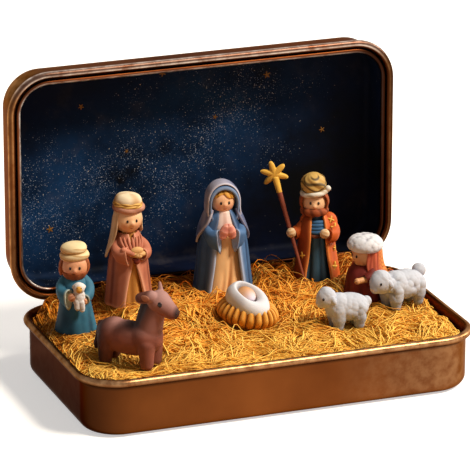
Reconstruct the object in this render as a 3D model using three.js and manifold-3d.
// Nativity scene of clay figures on straw, in a hinged pocket tin that stands open. Sizes in millimetres.
// X runs along the tin, Y to its back and Z up, from the middle of the tray's underside.
import * as THREE from "three";
import { mergeVertices } from "three/addons/utils/BufferGeometryUtils.js";
import Module from "manifold-3d";

// Tin: tray and lid are drawn from the same sheet and end in the same rolled bead.
const tinWidth = 95;
const tinDepth = 55;
const cornerRadius = 10;
const trayHeight = 13.8;
const lidHeight = 10.8;
const sheet = 0.45;
const beadRadius = 0.9;
const beadHeight = 2;
const edgeRound = 2.4;
const clearance = 0.3; // between pieces that touch on the real object
const rimGap = 0.3; // between the two rims when the lid is shut

// Hinges: two small barrel hinges on the back wall.
const hingeSpacing = 48;
const hingeWidth = 12;
const centreKnuckle = 4.4;
const knuckleRadius = 0.95;
const axisInset = 0.05; // from the back of the beads to the hinge axis
const leafThickness = 0.4;
const trayLeafReach = 7;
const lidLeafReach = 6;
const heelReach = 2.4;
const pinRadius = 0.45;
const pinPlay = 0.15;
const pinHeadRadius = 0.75;
const pinHead = 0.4;

// Lining and bed: a card sky in the lid, a card block in the tray and straw on it, heaped to the back.
const cardThickness = 0.5;
const cardBack = 1.2; // from the lid's rim back to the edge of the sky card
const boardTop = 7;
const strawFront = 12.2;
const strawBack = 15.8;
const slopeFront = 19.5; // from the front of the tin to where the straw starts to rise
const slopeBack = 13.5; // from the back of the tin to where it is level again

// Clay figures. A figure's front is -Y and an animal's head is to -X, before it is turned.
const clayGap = 0.3;
const seatEdge = 0.6; // straw left clear round a figure
const tipRadius = 0.3; // flat on top of a turned shape
const leastRadius = 0.05; // a turned curve comes no nearer to its axis
const shepherd = { fromLeft: 9.5, fromBack: 17.6, seat: 13.2, turn: -16, base: 4.7, terrace: 9 };
const shepherdBody = { height: 13.4, waist: 3.7, shoulder: 2.9 };
const shepherdHead = { radius: 3.15, above: 1.5, forward: 0.2 }; // a head's middle above its robe
const turban = { radius: 3.55, above: 1.4, tall: 4.5 }; // a hat's brim above the middle of the head
const shepherdHair = { width: 2.2, depth: 3, tall: 3.8, below: 0.4, sunk: 0.2 };
const heldLamb = { width: 3, depth: 2.6, height: 5.4, drop: 5.2, head: 1.35, aside: 0.6 };
const shepherdSleeve = { shoulder: 1.5, cuff: 1.9, out: 0.2, drop: 2, in: 0.2, forward: 2.2, fall: 5.4 };

const father = { fromLeft: 24.6, fromBack: 11, seat: 15.6, turn: 0, base: 5.6 };
const fatherBody = { height: 17.6, waist: 4.6, shoulder: 2.8, cloth: 0.9, closed: 6.6, opening: 27 };
const fatherHead = { radius: 3.1, tall: 3.4, above: 2.7 };
const cap = { rollRadius: 3.55, rollHeight: 1.5, tuck: 0.5, domeRadius: 2.9, above: 1.8, tall: 4.3 };
const headcloth = { radius: 3.8, hang: 8.3, spread: 4.4, endRadius: 1.5, back: 3.2, front: 0.4 };
const fatherSleeve = { shoulder: 1.6, cuff: 1.9, out: 0.8, drop: 3, in: 0.8, forward: 3.4, fall: 5.4 };
const fatherHands = { width: 4.4, depth: 2.4, tall: 2.8, forward: 0.6, above: 1 };

const mother = { fromMiddle: 0.7, fromBack: 9.5, seat: 15.6, turn: -7, base: 6.7 };
const motherBody = { height: 19.2, waist: 5.2, shoulder: 2.7, cloth: 1, opening: 33 };
const motherHead = { radius: 2.75, above: 2.3, forward: 0.3 };
const veil = { width: 8.2, tall: 9.8, face: 2.8, back: 0.4 };
const motherSleeve = { shoulder: 1.5, cuff: 1.75, out: 1.1, drop: 3.4, in: 1.6, forward: 4, fall: 6.2 };
const motherHands = { width: 3.8, depth: 2.4, tall: 3.8, sunk: 0.4, drop: 4.4 };

const king = { fromRight: 23.6, fromBack: 10, seat: 15.6, turn: -20, base: 5.2 };
const kingBody = { height: 16, waist: 4.2, shoulder: 2.5, cloth: 0.9, opening: 30 };
const kingHead = { radius: 2.75, above: 2.4 };
const beard = { radius: 3.6, face: 2.2, faceAbove: 0.6 };
const crown = { bandRadius: 3.4, bandHeight: 1.2, above: 2.1, domeRadius: 2.75, tall: 5.2 };
const kingSleeve = { shoulder: 1.5, cuff: 1.35, out: 1, drop: 2.4 };
const kingHand = { radius: 1.3, across: 1.3, forward: 0.3, drop: 4 };
const leftWrist = [1.5, 0.6, -0.2]; // from the middle of the hand
const rightWrist = [2.2, 1.4, -0.3];
const staff = { footRadius: 0.4, topRadius: 0.6, length: 22.4, grip: 11.2 };
const staffFoot = { left: 2.5, forward: 5.8 };
const staffLean = { left: 5.6, back: 6.8, up: 18.8 };
const star = { reach: 2.9, waist: 1.25, thickness: 1, rays: 6 };

const herder = { fromRight: 16.5, fromBack: 22.9, seat: 14, turn: -80, base: 4.8 };
const herderBody = { height: 8.8, waist: 4.3, shoulder: 2.7 };
const herderHead = { radius: 2.85, above: 1.7, forward: 0.4 };
const woolCap = { radius: 3.75, above: 1.1, tall: 4.2 };
const scarf = { radius: 3.6, tall: 4.4, below: 0.8, front: 0.2 };
const herderArm = { shoulder: 1.35, cuff: 1.4, drop: 1.8, in: 0.3, forward: 1.8, fall: 4 };
const herderHand = { radius: 0.75, in: 1, forward: 4.2, fall: 4.6 };

const ewe = { fromRight: 9.6, fromBack: 28.6, seat: 13, turn: 20 };
const eweBody = { length: 10, width: 6.4, tall: 6.6, centre: 5.6, leg: 1.15, stance: 5.8, track: 3.2 };
const eweHead = { length: 5.4, width: 4.4, tall: 5.4, ahead: 7, centre: 7.5 };
const eweTail = { radius: 1.35, behind: 3.9, centre: 9.2 };

const lamb = { fromRight: 26.3, fromFront: 19, seat: 12, turn: 0 };
const lambBody = { length: 10, width: 5.6, tall: 5.8, centre: 5.2, leg: 1.1, stance: 5.1, track: 2.8 };
const lambHead = { length: 4.4, width: 4, tall: 4.8, ahead: 5.2, centre: 8 };
const lambTail = { radius: 0.9, behind: 4.3, centre: 6.6 };

const crib = { fromMiddle: 0.1, fromFront: 27.5, seat: 13, turn: -40 };
const basket = { length: 14.4, width: 11.6, height: 6.4, foot: 8.4, bulge: 3.6, lip: 0.6 };
const basketSide = { in: 0.5, up: 1.6 }; // from the widest point, and from the ground
const basketShoulder = { in: 1.3, below: 0.6 }; // from the widest point, and from the lip
const swaddle = { length: 10, width: 8, bottom: 4, top: 9.4 };
const infant = { length: 4.6, width: 3.4, tall: 3.4, centre: 8.7, towardsHead: 0.6 };

const donkey = { fromLeft: 14.8, fromFront: 14.4, seat: 12, turn: 133 };
const donkeyBody = { length: 16.6, width: 7.8, tall: 8.2, centre: 7.1, leg: 1.5, stance: 11.2, track: 4.2 };
const donkeyNeck = { base: 2.9, poll: 2.2, from: 4.6, to: 7.2, bottom: 8.6, top: 13.4 };
const donkeyHead = { poll: 2.6, muzzle: 1.6, from: 7.4, to: 11.8, top: 15.2, bottom: 13 };
const donkeyEar = { length: 3.6, width: 2, thickness: 1.2, apart: 3.8, behind: 0.6, above: 2.2 };
const donkeyTail = { radius: 0.75, from: 8, to: 8.7, top: 8.6, bottom: 3.4 };

// Outlines of turned pieces, as shares of their radius and height.
const bellShares = { hem: 0.3, waist: 0.6, shoulder: 0.9 };
const turbanCurve = [[0.8, 0], [1, 0.25], [0.92, 0.45], [0.95, 0.65], [0.6, 0.92], [0, 1]];
const bandCurve = [[0.9, 0], [1, 0.5], [0.9, 1]];
const crownCurve = [[0.92, 0], [1, 0.35], [0.72, 0.8], [0, 1]];
const woolCurve = [[0.75, 0], [1, 0.35], [0.7, 0.85], [0, 1]];

// Facets
const cornerSteps = 3;
const edgeSteps = 2;
const bodySides = 14;
const bodySteps = 5;
const bandSteps = 4;
const ballSides = 12;
const ballRings = 6;
const limbSides = 8;
const limbRings = 2;
const knuckleSides = 14;
const boreSides = 12;
const pinSides = 10;
const beyond = 100; // reach of a cutter that only has to pass right through

const wallInset = 2 * beadRadius - sheet;
const innerInset = wallInset + sheet;
const innerRound = edgeRound - sheet;
const hingeY = tinDepth / 2 - axisInset;
const hingeZ = trayHeight + rimGap / 2;

const wasm = await Module();
wasm.setup();

// A closed geometry as a solid that can be joined and cut, without the flat faces at its poles.
function solid(item) {
  if (!item.isBufferGeometry) {
    return item;
  }
  const bare = item.clone();
  bare.deleteAttribute("normal");
  bare.deleteAttribute("uv");
  const merged = mergeVertices(bare);
  const corners = merged.index.array;
  const kept = [];
  for (let i = 0; i < corners.length; i += 3) {
    const [a, b, c] = corners.slice(i, i + 3);
    if (a !== b && b !== c && c !== a) {
      kept.push(a, b, c);
    }
  }
  const vertProperties = new Float32Array(merged.attributes.position.array);
  return new wasm.Manifold(new wasm.Mesh({ numProp: 3, vertProperties, triVerts: new Uint32Array(kept) }));
}

function join(first, ...others) {
  return others.reduce((sum, item) => sum.add(solid(item)), solid(first));
}

// What is left of a piece after its neighbours are cut out of it, without loose crumbs.
function cut(first, ...tools) {
  const left = tools.reduce((rest, tool) => rest.subtract(solid(tool)), solid(first));
  return left.decompose().reduce((most, part) => (part.volume() > most.volume() ? part : most));
}

function geometryOf(item) {
  const mesh = solid(item).getMesh();
  const geometry = new THREE.BufferGeometry();
  geometry.setAttribute("position", new THREE.BufferAttribute(mesh.vertProperties, 3));
  geometry.setIndex(new THREE.BufferAttribute(mesh.triVerts, 1));
  geometry.computeVertexNormals();
  return geometry;
}

function finish(color, roughness, metalness = 0) {
  return new THREE.MeshStandardMaterial({ color, roughness, metalness });
}

// A named piece in a group.
function piece(group, name, item, material) {
  const mesh = new THREE.Mesh(geometryOf(item), material);
  mesh.name = name;
  group.add(mesh);
}

// The tin's rounded outline, moved in from the outermost edge of the bead.
function outline(inset) {
  const x = tinWidth / 2 - inset;
  const y = tinDepth / 2 - inset;
  const radius = cornerRadius - inset;
  const quarter = Math.PI / 2;
  const shape = new THREE.Shape();
  shape.moveTo(radius - x, -y);
  shape.lineTo(x - radius, -y);
  shape.absarc(x - radius, radius - y, radius, -quarter, 0);
  shape.lineTo(x, y - radius);
  shape.absarc(x - radius, y - radius, radius, 0, quarter);
  shape.lineTo(radius - x, y);
  shape.absarc(radius - x, y - radius, radius, quarter, 2 * quarter);
  shape.lineTo(-x, radius - y);
  shape.absarc(radius - x, radius - y, radius, 2 * quarter, 3 * quarter);
  return shape;
}

// A slab of that outline between two heights, its edges rounded over.
function slab(inset, bottom, top, round = 0) {
  const geometry = new THREE.ExtrudeGeometry(outline(inset), {
    depth: top - bottom - 2 * round,
    curveSegments: cornerSteps,
    bevelEnabled: round > 0,
    bevelThickness: round,
    bevelSize: round,
    bevelOffset: -round,
    bevelSegments: edgeSteps,
  });
  return geometry.translate(0, 0, bottom + round);
}

// A box from its lowest to its highest corner.
function block(low, high) {
  const size = high.map((value, i) => value - low[i]);
  const middle = high.map((value, i) => (value + low[i]) / 2);
  return new THREE.BoxGeometry(...size).translate(...middle);
}

// A turned solid: a curve through radius and height points, closed to the axis and swollen by grow.
function turned(points, grow = 0, steps = bodySteps) {
  const curve = new THREE.SplineCurve(points.map(([radius, height]) => new THREE.Vector2(radius, height)));
  const line = curve.getPoints(steps);
  const wall = line.map((point, i) => {
    const before = line[Math.max(i - 1, 0)];
    const after = line[Math.min(i + 1, steps)];
    const along = after.clone().sub(before).normalize();
    return new THREE.Vector2(Math.max(point.x + grow * along.y, leastRadius), point.y - grow * along.x);
  });
  const bottom = new THREE.Vector2(wall[0].x, wall[0].y - grow);
  const axisLow = new THREE.Vector2(0, bottom.y);
  const axisHigh = new THREE.Vector2(0, wall[steps].y);
  const profile = grow > 0 ? [axisLow, bottom, ...wall, axisHigh] : [axisLow, ...wall, axisHigh];
  return new THREE.LatheGeometry(profile, bodySides).rotateX(Math.PI / 2);
}

// Points of a turned piece from an outline in shares, with its tip left blunt.
function shaped(curve, radius, bottom, top) {
  return curve.map(([out, up]) => [Math.max(out * radius, tipRadius), bottom + up * (top - bottom)]);
}

// An ellipsoid from its half lengths and its centre.
function ball([x, y, z], centre, grow = 0) {
  const geometry = new THREE.SphereGeometry(1, ballSides, ballRings).rotateX(Math.PI / 2);
  return geometry.scale(x + grow, y + grow, z + grow).translate(...centre);
}

// A round-ended limb that tapers from one point to another.
function limb(from, to, fromRadius, toRadius, grow = 0) {
  const start = new THREE.Vector3(...from);
  const way = new THREE.Vector3(...to).sub(start);
  const length = way.length();
  const startRadius = fromRadius + grow;
  const endRadius = toRadius + grow;
  const profile = [new THREE.Vector2(0, -startRadius)];
  for (let i = 1; i <= limbRings; i += 1) {
    const angle = (Math.PI / 2) * (i / limbRings - 1);
    profile.push(new THREE.Vector2(startRadius * Math.cos(angle), startRadius * Math.sin(angle)));
  }
  for (let i = 0; i < limbRings; i += 1) {
    const angle = (Math.PI / 2) * (i / limbRings);
    profile.push(new THREE.Vector2(endRadius * Math.cos(angle), length + endRadius * Math.sin(angle)));
  }
  profile.push(new THREE.Vector2(0, length + endRadius));
  const up = new THREE.Vector3(0, 1, 0);
  const lean = new THREE.Quaternion().setFromUnitVectors(up, way.normalize());
  return new THREE.LatheGeometry(profile, limbSides).applyQuaternion(lean).translate(...from);
}

// An upright post between two heights.
function post(x, y, bottom, top, radius) {
  const geometry = new THREE.CylinderGeometry(radius, radius, top - bottom, limbSides).rotateX(Math.PI / 2);
  return geometry.translate(x, y, (top + bottom) / 2);
}

// A bar along X.
function bar(length, radius, sides) {
  return new THREE.CylinderGeometry(radius, radius, length, sides).rotateZ(Math.PI / 2);
}

// A wedge that opens to the front from the axis, for a coat that hangs open.
function frontWedge(halfAngle, bottom, top) {
  const side = beyond * Math.tan(THREE.MathUtils.degToRad(halfAngle));
  const shape = new THREE.Shape();
  shape.moveTo(0, 0);
  shape.lineTo(-side, -beyond);
  shape.lineTo(side, -beyond);
  const geometry = new THREE.ExtrudeGeometry(shape, { depth: top - bottom, bevelEnabled: false });
  return geometry.translate(0, 0, bottom);
}

// A group that holds one figure at its place on the straw.
function standing(place) {
  const left = "fromLeft" in place ? place.fromLeft - tinWidth / 2 : place.fromMiddle;
  const front = "fromFront" in place ? place.fromFront - tinDepth / 2 : tinDepth / 2 - place.fromBack;
  const group = new THREE.Group();
  group.position.set("fromRight" in place ? tinWidth / 2 - place.fromRight : left, front, place.seat);
  group.rotation.z = THREE.MathUtils.degToRad(place.turn);
  return group;
}

const tinplate = finish(0x8a5530, 0.35, 0.85);
const steel = finish(0x8d8a84, 0.4, 1);
const skyCard = finish(0x0b1430, 0.8);
const boardCard = finish(0x9a7b52, 0.9);
const straw = finish(0xd9962f, 0.85);
const skin = finish(0xe0a877, 0.6);
const cream = finish(0xe8d3a6, 0.65);
const white = finish(0xece8e2, 0.8);
const blue = finish(0x3f6f96, 0.65);
const slate = finish(0x33475c, 0.65);
const pink = finish(0xb9775a, 0.65);
const ochre = finish(0xc48a3c, 0.65);
const rust = finish(0xb4562a, 0.6);
const maroon = finish(0x5a2320, 0.65);
const gold = finish(0xd8a440, 0.5);
const brown = finish(0x7a4a2c, 0.6);
const mauve = finish(0x7d6260, 0.75);

// Tray or lid: walls with a rounded bottom edge and an outward bead, hollowed out.
function tinShell(height) {
  const outside = join(
    slab(wallInset, 0, height, edgeRound),
    slab(0, height - beadHeight, height, beadRadius),
  );
  return outside.subtract(solid(slab(innerInset, sheet, height + 2 * edgeRound, innerRound)));
}

const hingeSides = { left: -hingeSpacing / 2, right: hingeSpacing / 2 };
const plateInner = axisInset - wallInset + clearance;
const plateOuter = plateInner + leafThickness;
const sweep = knuckleRadius + clearance;
const pinReach = hingeWidth / 2 + clearance + pinHead;

// Room in a bead for a hinge, seen from its axis, with the wall on the side that up points to.
function hingeNotch(x, up) {
  const far = up * (rimGap / 2 + beadHeight + clearance);
  const near = -up * sweep;
  const half = pinReach + clearance;
  const low = [x - half, plateInner - clearance, Math.min(far, near)];
  return block(low, [x + half, beyond, Math.max(far, near)]);
}

// One hinge leaf on its axis: a plate on the wall, and arms that carry its knuckles.
function hingeLeaf(x, up, reach, knuckles) {
  const bottom = Math.min(up * sweep, up * reach);
  const top = Math.max(up * sweep, up * reach);
  const half = hingeWidth / 2;
  const plate = block([-half, plateInner, bottom], [half, plateOuter, top]);
  const arms = knuckles.flatMap(([start, end]) => [
    block([start, plateInner, Math.min(0, up * 2 * sweep)], [end, plateOuter, Math.max(0, up * 2 * sweep)]),
    bar(end - start, knuckleRadius, knuckleSides).translate((start + end) / 2, 0, 0),
  ]);
  return { body: join(plate, ...arms), place: [x, 0, 0] };
}

function bored({ body, place }) {
  const bore = bar(2 * hingeWidth, pinRadius + pinPlay, boreSides);
  return geometryOf(body.subtract(solid(bore))).translate(...place);
}

const outerStart = centreKnuckle / 2 + clearance;
const outerKnuckles = [
  [-hingeWidth / 2, -outerStart],
  [outerStart, hingeWidth / 2],
];
const innerKnuckles = [[-centreKnuckle / 2, centreKnuckle / 2]];

function buildTray() {
  const group = new THREE.Group();
  const axis = new THREE.Group();
  axis.position.set(0, hingeY, hingeZ);
  group.add(axis);
  let tray = tinShell(trayHeight);
  for (const [side, x] of Object.entries(hingeSides)) {
    tray = tray.subtract(solid(hingeNotch(x, -1).translate(0, hingeY, hingeZ)));
    piece(axis, `tray_hinge_leaf_${side}`, bored(hingeLeaf(x, -1, trayLeafReach, outerKnuckles)), steel);
    const wire = bar(2 * pinReach, pinRadius, pinSides);
    const heads = [-1, 1].map((end) => {
      const middle = end * (pinReach - pinHead / 2);
      return bar(pinHead, pinHeadRadius, pinSides).translate(middle, 0, 0);
    });
    piece(axis, `hinge_pin_${side}`, geometryOf(join(wire, ...heads)).translate(x, 0, 0), steel);
  }
  piece(group, "tray", tray, tinplate);
  return group;
}

// The lid is drawn shut, from its hinge axis, and turned back to stand open.
function buildLid() {
  const group = new THREE.Group();
  group.position.set(0, hingeY, hingeZ);
  group.rotation.x = -Math.PI / 2;
  const panel = rimGap / 2 + lidHeight;
  const shut = geometryOf(tinShell(lidHeight)).rotateX(Math.PI).translate(0, -hingeY, panel);
  let lid = solid(shut);
  for (const [side, x] of Object.entries(hingeSides)) {
    lid = lid.subtract(solid(hingeNotch(x, 1)));
    const leaf = hingeLeaf(x, 1, lidLeafReach, innerKnuckles);
    const half = centreKnuckle / 2;
    const heelTop = plateOuter + clearance + leafThickness;
    leaf.body = leaf.body.add(solid(block([-half, 0, heelTop - leafThickness], [half, heelReach, heelTop])));
    piece(group, `lid_hinge_leaf_${side}`, bored(leaf), steel);
  }
  piece(group, "lid", lid, tinplate);
  const cardInset = innerInset + clearance;
  const cardTop = panel - sheet - clearance;
  const cardEdge = rimGap / 2 + cardBack;
  const card = cut(
    slab(cardInset, cardEdge - 2 * innerRound, cardTop, innerRound),
    slab(
      cardInset + cardThickness,
      cardEdge - 3 * innerRound,
      cardTop - cardThickness,
      innerRound - cardThickness,
    ),
    block([-beyond, -beyond, cardEdge - beyond], [beyond, beyond, cardEdge]),
  );
  piece(group, "sky_backdrop", geometryOf(card).translate(0, -hingeY, 0), skyCard);
  return group;
}

// The straw's top in section: low at the front, then up to the back in one soft rise.
function strawSection() {
  const front = -tinDepth / 2;
  const back = tinDepth / 2;
  const rise = front + slopeFront;
  const level = back - slopeBack;
  const middle = (rise + level) / 2;
  const shape = new THREE.Shape();
  shape.moveTo(front, boardTop + clearance);
  shape.lineTo(back, boardTop + clearance);
  shape.lineTo(back, strawBack);
  shape.lineTo(level, strawBack);
  shape.bezierCurveTo(middle, strawBack, middle, strawFront, rise, strawFront);
  shape.lineTo(front, strawFront);
  const geometry = new THREE.ExtrudeGeometry(shape, {
    depth: tinWidth,
    curveSegments: cornerSteps,
    bevelEnabled: false,
  });
  return geometry.rotateX(Math.PI / 2).rotateZ(Math.PI / 2).translate(-tinWidth / 2, 0, 0);
}

// A flat seat pressed into the straw under a figure.
function seat(place, along, across) {
  const geometry = new THREE.CylinderGeometry(1, 1, beyond, bodySides).rotateX(Math.PI / 2);
  const group = standing(place);
  group.updateMatrix();
  return geometry.scale(along, across, 1).translate(0, 0, beyond / 2 - clayGap).applyMatrix4(group.matrix);
}

function buildBed() {
  const group = new THREE.Group();
  const inset = innerInset + clearance;
  piece(group, "bed_board", slab(inset, sheet + clearance, boardTop, innerRound), boardCard);
  const round = (place, radius) => seat(place, radius + seatEdge, radius + seatEdge);
  const beast = (place, body) => {
    const room = 2 * body.leg + seatEdge;
    return seat(place, body.stance / 2 + room, body.track / 2 + room);
  };
  const heap = solid(strawSection()).intersect(solid(slab(inset, boardTop + clearance, strawBack + beyond)));
  const bed = cut(
    heap,
    round(shepherd, shepherd.terrace),
    round(father, father.base),
    round(mother, mother.base),
    round(king, Math.hypot(staffFoot.left, staffFoot.forward) + staff.footRadius),
    round(herder, herder.base),
    beast(ewe, eweBody),
    beast(lamb, lambBody),
    beast(donkey, donkeyBody),
    seat(crib, basket.length / 2, basket.width / 2),
  );
  piece(group, "straw_bed", bed, straw);
  return group;
}

// Bell of a robe from its base to its shoulders.
function bell(base, body, inset = 0) {
  return [
    [base - inset, 0],
    [(base + body.waist) / 2 - inset, body.height * bellShares.hem],
    [body.waist - inset, body.height * bellShares.waist],
    [body.shoulder - inset, body.height * bellShares.shoulder],
    [tipRadius, body.height - inset],
  ];
}

// Left and right sleeves, from the shoulders forward to the cuffs.
function sleevePair(body, sleeve, grow = 0) {
  const [left, right] = [-1, 1].map((side) => {
    const shoulder = [side * (body.shoulder + sleeve.out), 0, body.height - sleeve.drop];
    const cuff = [side * (body.waist - sleeve.in), -sleeve.forward, body.height - sleeve.fall];
    return limb(shoulder, cuff, sleeve.shoulder, sleeve.cuff, grow);
  });
  return { left, right };
}

// Half lengths of an ellipsoid.
function halves(width, depth, tall) {
  return [width / 2, depth / 2, tall / 2];
}

function equal(radius) {
  return [radius, radius, radius];
}

function buildShepherd() {
  const group = standing(shepherd);
  const robe = (grow) => turned(bell(shepherd.base, shepherdBody), grow);
  const headZ = shepherdBody.height + shepherdHead.above;
  const headAt = [0, -shepherdHead.forward, headZ];
  const head = (grow) => ball(equal(shepherdHead.radius), headAt, grow);
  const wrapZ = headZ + turban.above;
  const wrap = (grow) => turned(shaped(turbanCurve, turban.radius, wrapZ, wrapZ + turban.tall), grow);
  const hairAt = [shepherdHair.sunk - shepherdHead.radius, 0, headZ - shepherdHair.below];
  const hair = ball(halves(shepherdHair.width, shepherdHair.depth, shepherdHair.tall), hairAt);
  const lambFront = -shepherdBody.waist - heldLamb.depth / 4;
  const lambZ = shepherdBody.height - heldLamb.drop;
  const lambTop = lambZ + heldLamb.height / 2;
  const beast = join(
    ball(
      halves(heldLamb.width, heldLamb.depth, heldLamb.height),
      [heldLamb.aside, lambFront, lambZ],
    ),
    ball(equal(heldLamb.head), [heldLamb.aside, lambFront, lambTop]),
  );
  const { left, right } = sleevePair(shepherdBody, shepherdSleeve);
  const grown = sleevePair(shepherdBody, shepherdSleeve, clayGap);
  piece(group, "shepherd_robe", cut(robe(0), head(clayGap)), blue);
  piece(group, "shepherd_head", head(0), skin);
  piece(group, "shepherd_turban", cut(wrap(0), head(clayGap)), cream);
  piece(group, "shepherd_hair", cut(hair, head(clayGap), wrap(clayGap), robe(clayGap), grown.left), brown);
  piece(group, "shepherd_left_sleeve", cut(left, robe(clayGap), head(clayGap)), blue);
  piece(group, "shepherd_right_sleeve", cut(right, robe(clayGap), head(clayGap)), blue);
  piece(group, "shepherd_lamb", cut(beast, robe(clayGap), grown.left, grown.right, head(clayGap)), white);
  return group;
}

function buildFather() {
  const group = standing(father);
  const under = clayGap + fatherBody.cloth;
  const tunic = (grow) => turned(bell(father.base, fatherBody, under), grow);
  const mantle = (grow) => turned(bell(father.base, fatherBody), grow);
  const headZ = fatherBody.height + fatherHead.above;
  const headAt = [0, 0, headZ];
  const head = (grow) => ball([fatherHead.radius, fatherHead.radius, fatherHead.tall], headAt, grow);
  const hat = (grow) => {
    const rollBottom = headZ + cap.above;
    const rollTop = rollBottom + cap.rollHeight;
    const domeTop = rollBottom + cap.tall;
    return turned(
      [
        [cap.rollRadius - cap.tuck, rollBottom],
        [cap.rollRadius, rollBottom + cap.rollHeight / 2],
        [cap.domeRadius, rollTop],
        [cap.domeRadius, (rollTop + domeTop) / 2],
        [tipRadius, domeTop],
      ],
      grow,
    );
  };
  const drape = join(
    ball(equal(headcloth.radius), [0, headcloth.front, headZ]),
    limb(
      [0, headcloth.back - headcloth.endRadius, headZ],
      [-headcloth.spread, headcloth.back, headZ - headcloth.hang],
      headcloth.radius - clayGap,
      headcloth.endRadius,
    ),
  );
  const openTo = fatherBody.height - fatherBody.closed;
  const handsAt = [0, -fatherBody.waist - fatherHands.forward, openTo + fatherHands.above];
  const hands = ball(halves(fatherHands.width, fatherHands.depth, fatherHands.tall), handsAt);
  const { left, right } = sleevePair(fatherBody, fatherSleeve);
  const grown = sleevePair(fatherBody, fatherSleeve, clayGap);
  const opening = frontWedge(fatherBody.opening, -clayGap, openTo);
  piece(group, "father_tunic", cut(tunic(0), head(clayGap)), ochre);
  piece(group, "father_coat", cut(mantle(0), tunic(clayGap), head(clayGap), opening), pink);
  piece(group, "father_head", head(0), skin);
  piece(group, "father_cap", cut(hat(0), head(clayGap)), cream);
  const front = block([-beyond, -beyond, 0], [beyond, headcloth.front, beyond]);
  const cloth = cut(drape, head(clayGap), hat(clayGap), mantle(clayGap), grown.left, grown.right, front);
  piece(group, "father_headcloth", cloth, cream);
  piece(group, "father_left_sleeve", cut(left, mantle(clayGap)), pink);
  piece(group, "father_right_sleeve", cut(right, mantle(clayGap)), pink);
  piece(group, "father_hands", cut(hands, mantle(clayGap), grown.left, grown.right), cream);
  return group;
}

function buildMother() {
  const group = standing(mother);
  const under = clayGap + motherBody.cloth;
  const gown = (grow) => turned(bell(mother.base, motherBody, under), grow);
  const cloak = (grow) => turned(bell(mother.base, motherBody), grow);
  const headZ = motherBody.height + motherHead.above;
  const headAt = [0, -motherHead.forward, headZ];
  const head = (grow) => ball(equal(motherHead.radius), headAt, grow);
  const hood = ball(halves(veil.width, veil.width, veil.tall), [0, veil.back, headZ]);
  const face = new THREE.CylinderGeometry(veil.face, veil.face, beyond, ballSides);
  face.translate(0, -beyond / 2, 0).translate(...headAt);
  const handsAt = [0, motherHands.sunk - motherBody.waist, motherBody.height - motherHands.drop];
  const hands = ball(halves(motherHands.width, motherHands.depth, motherHands.tall), handsAt);
  const { left, right } = sleevePair(motherBody, motherSleeve);
  const grown = sleevePair(motherBody, motherSleeve, clayGap);
  const opening = frontWedge(motherBody.opening, -clayGap, beyond);
  piece(group, "mother_gown", cut(gown(0), head(clayGap)), cream);
  piece(group, "mother_cloak", cut(cloak(0), gown(clayGap), head(clayGap), opening), blue);
  piece(group, "mother_head", head(0), skin);
  piece(group, "mother_veil", cut(hood, head(clayGap), cloak(clayGap), face), blue);
  piece(group, "mother_left_sleeve", cut(left, cloak(clayGap)), blue);
  piece(group, "mother_right_sleeve", cut(right, cloak(clayGap)), blue);
  piece(group, "mother_hands", cut(hands, cloak(clayGap), grown.left, grown.right), skin);
  return group;
}

// A flat star with pointed rays, standing upright and facing the front.
function starSolid() {
  const shape = new THREE.Shape();
  const points = [];
  for (let i = 0; i < 2 * star.rays; i += 1) {
    const reach = i % 2 ? star.waist : star.reach;
    const angle = (Math.PI * i) / star.rays - Math.PI / 2;
    points.push(new THREE.Vector2(reach * Math.cos(angle), reach * Math.sin(angle)));
  }
  shape.setFromPoints(points);
  const geometry = new THREE.ExtrudeGeometry(shape, { depth: star.thickness, bevelEnabled: false });
  return geometry.translate(0, 0, -star.thickness / 2).rotateX(Math.PI / 2);
}

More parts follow.
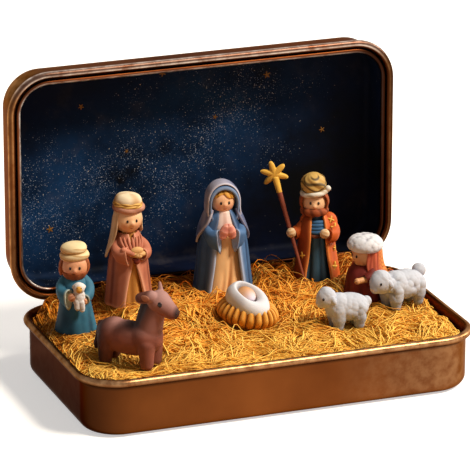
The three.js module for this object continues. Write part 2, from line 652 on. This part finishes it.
function buildKing() {
  const group = standing(king);
  const under = clayGap + kingBody.cloth;
  const tunic = (grow) => turned(bell(king.base, kingBody, under), grow);
  const coat = (grow) => turned(bell(king.base, kingBody), grow);
  const headZ = kingBody.height + kingHead.above;
  const headAt = [0, 0, headZ];
  const head = (grow) => ball(equal(kingHead.radius), headAt, grow);
  const bandBottom = headZ + crown.above;
  const bandTop = bandBottom + crown.bandHeight;
  const bandPoints = shaped(bandCurve, crown.bandRadius, bandBottom, bandTop);
  const band = (grow) => turned(bandPoints, grow, bandSteps);
  const dome = turned(shaped(crownCurve, crown.domeRadius, bandTop + clayGap, bandBottom + crown.tall));
  const hair = ball(equal(beard.radius), headAt);
  const face = new THREE.CylinderGeometry(beard.face, beard.face, beyond, ballSides);
  face.translate(0, -beyond / 2, headZ + beard.faceAbove);
  const foot = new THREE.Vector3(-staffFoot.left, -staffFoot.forward, staff.footRadius);
  const way = new THREE.Vector3(-staffLean.left, staffLean.back, staffLean.up).normalize();
  const along = (length) => foot.clone().addScaledVector(way, length).toArray();
  const rod = (grow) => limb(along(0), along(staff.length), staff.footRadius, staff.topRadius, grow);
  const leftAt = along(staff.grip);
  const rightAt = [kingHand.across, -kingBody.waist - kingHand.forward, kingBody.height - kingHand.drop];
  const arm = (side, hand, offset, grow) => {
    const shoulder = [side * (kingBody.shoulder + kingSleeve.out), 0, kingBody.height - kingSleeve.drop];
    const wrist = hand.map((value, i) => value + offset[i]);
    return limb(shoulder, wrist, kingSleeve.shoulder, kingSleeve.cuff, grow);
  };
  const leftArm = (grow) => arm(-1, leftAt, leftWrist, grow);
  const rightArm = (grow) => arm(1, rightAt, rightWrist, grow);
  const leftHand = ball(equal(kingHand.radius), leftAt);
  const rightHand = ball(equal(kingHand.radius), rightAt);
  const starAt = along(staff.length + staff.topRadius + clayGap + star.reach);
  const opening = frontWedge(kingBody.opening, -clayGap, beyond);
  piece(group, "king_tunic", cut(tunic(0), head(clayGap)), slate);
  piece(group, "king_coat", cut(coat(0), tunic(clayGap), head(clayGap), opening, rod(clayGap)), rust);
  piece(group, "king_head", head(0), skin);
  piece(group, "king_beard", cut(hair, head(clayGap), band(clayGap), coat(clayGap), face), brown);
  piece(group, "king_crown_band", cut(band(0), head(clayGap)), white);
  piece(group, "king_crown", dome, gold);
  piece(group, "king_left_sleeve", cut(leftArm(0), coat(clayGap), rod(clayGap)), rust);
  piece(group, "king_right_sleeve", cut(rightArm(0), coat(clayGap)), rust);
  piece(group, "king_left_hand", cut(leftHand, rod(clayGap), leftArm(clayGap)), skin);
  piece(group, "king_right_hand", cut(rightHand, coat(clayGap), rightArm(clayGap)), skin);
  piece(group, "king_staff", rod(0), brown);
  const lean = Math.atan2(staffLean.left, staffLean.up);
  piece(group, "king_star", starSolid().rotateY(-lean).translate(...starAt), gold);
  return group;
}

function buildHerder() {
  const group = standing(herder);
  const robe = (grow) => turned(bell(herder.base, herderBody), grow);
  const headZ = herderBody.height + herderHead.above;
  const headAt = [0, -herderHead.forward, headZ];
  const head = (grow) => ball(equal(herderHead.radius), headAt, grow);
  const woolZ = headZ + woolCap.above;
  const wool = (grow) => turned(shaped(woolCurve, woolCap.radius, woolZ, woolZ + woolCap.tall), grow);
  const clothAt = [0, 0, headZ - scarf.below];
  const cloth = ball([scarf.radius, scarf.radius, scarf.tall], clothAt);
  const shoulderAt = [herderBody.shoulder, 0, herderBody.height - herderArm.drop];
  const wristAt = [herderBody.waist - herderArm.in, -herderArm.forward, herderBody.height - herderArm.fall];
  const palmAt = [herderBody.waist - herderHand.in, -herderHand.forward, herderBody.height - herderHand.fall];
  const arm = (grow) => limb(shoulderAt, wristAt, herderArm.shoulder, herderArm.cuff, grow);
  const hand = limb(wristAt, palmAt, herderHand.radius, herderHand.radius);
  const front = block([-beyond, -beyond, 0], [beyond, -scarf.front, beyond]);
  piece(group, "herder_robe", cut(robe(0), head(clayGap)), maroon);
  piece(group, "herder_head", head(0), skin);
  piece(group, "herder_cap", cut(wool(0), head(clayGap)), white);
  piece(
    group,
    "herder_scarf",
    cut(cloth, head(clayGap), wool(clayGap), robe(clayGap), arm(clayGap), front),
    rust,
  );
  piece(group, "herder_sleeve", cut(arm(0), robe(clayGap), head(clayGap)), maroon);
  piece(group, "herder_hand", cut(hand, robe(clayGap), arm(clayGap)), skin);
  return group;
}

// Body of a four-legged animal on its stubby legs.
function beastBody(body) {
  const legs = [-1, 1].flatMap((end) =>
    [-1, 1].map((side) => post((end * body.stance) / 2, (side * body.track) / 2, 0, body.centre, body.leg)),
  );
  return join(ball(halves(body.length, body.width, body.tall), [0, 0, body.centre]), ...legs);
}

function buildSheep(name, place, body, head, tail) {
  const group = standing(place);
  const half = halves(head.length, head.width, head.tall);
  const skull = (grow) => ball(half, [-head.ahead, 0, head.centre], grow);
  const stub = ball(equal(tail.radius), [tail.behind, 0, tail.centre]);
  piece(group, `${name}_body`, cut(join(beastBody(body), stub), skull(clayGap)), white);
  piece(group, `${name}_head`, skull(0), white);
  return group;
}

function buildDonkey() {
  const group = standing(donkey);
  const neckTop = [-donkeyNeck.to, 0, donkeyNeck.top];
  const neck = limb([-donkeyNeck.from, 0, donkeyNeck.bottom], neckTop, donkeyNeck.base, donkeyNeck.poll);
  const pollAt = [-donkeyHead.from, 0, donkeyHead.top];
  const muzzleAt = [-donkeyHead.to, 0, donkeyHead.bottom];
  const skull = (grow) => limb(pollAt, muzzleAt, donkeyHead.poll, donkeyHead.muzzle, grow);
  const ears = [-1, 1].map((side) =>
    ball(
      halves(donkeyEar.length, donkeyEar.thickness, donkeyEar.width),
      [
        donkeyEar.behind + donkeyEar.length / 4 - donkeyHead.from,
        (side * donkeyEar.apart) / 2,
        donkeyHead.top + donkeyEar.above,
      ],
    ),
  );
  const tailTop = [donkeyTail.from, 0, donkeyTail.top];
  const tail = limb(tailTop, [donkeyTail.to, 0, donkeyTail.bottom], donkeyTail.radius, donkeyTail.radius);
  const head = join(skull(0), ...ears);
  const trunk = join(beastBody(donkeyBody), neck, tail);
  piece(group, "donkey_body", cut(trunk, skull(clayGap), ...ears), mauve);
  piece(group, "donkey_head", head, mauve);
  return group;
}

function buildCrib() {
  const group = standing(crib);
  const oval = (item, wide, long) => item.scale(1, wide / long, 1);
  const widest = basket.length / 2;
  const nest = oval(
    turned([
      [basket.foot / 2, 0],
      [widest - basketSide.in, basketSide.up],
      [widest, basket.bulge],
      [widest - basketShoulder.in, basket.height - basketShoulder.below],
      [swaddle.length / 2 - basket.lip, basket.height],
    ]),
    basket.width,
    basket.length,
  );
  const middle = (swaddle.bottom + swaddle.top) / 2;
  const half = halves(swaddle.length, swaddle.width, swaddle.top - swaddle.bottom);
  const wrap = (grow) => ball(half, [0, 0, middle], grow);
  const headAt = [-infant.towardsHead, 0, infant.centre];
  const head = (grow) => ball(halves(infant.length, infant.width, infant.tall), headAt, grow);
  piece(group, "crib_basket", cut(nest, wrap(clayGap)), ochre);
  piece(group, "crib_swaddle", cut(wrap(0), head(clayGap)), white);
  piece(group, "infant_head", head(0), skin);
  return group;
}

const nativityTin = new THREE.Group();
nativityTin.add(
  buildTray(),
  buildLid(),
  buildBed(),
  buildShepherd(),
  buildFather(),
  buildMother(),
  buildKing(),
  buildHerder(),
  buildSheep("ewe", ewe, eweBody, eweHead, eweTail),
  buildSheep("lamb", lamb, lambBody, lambHead, lambTail),
  buildCrib(),
  buildDonkey(),
);

export default nativityTin;
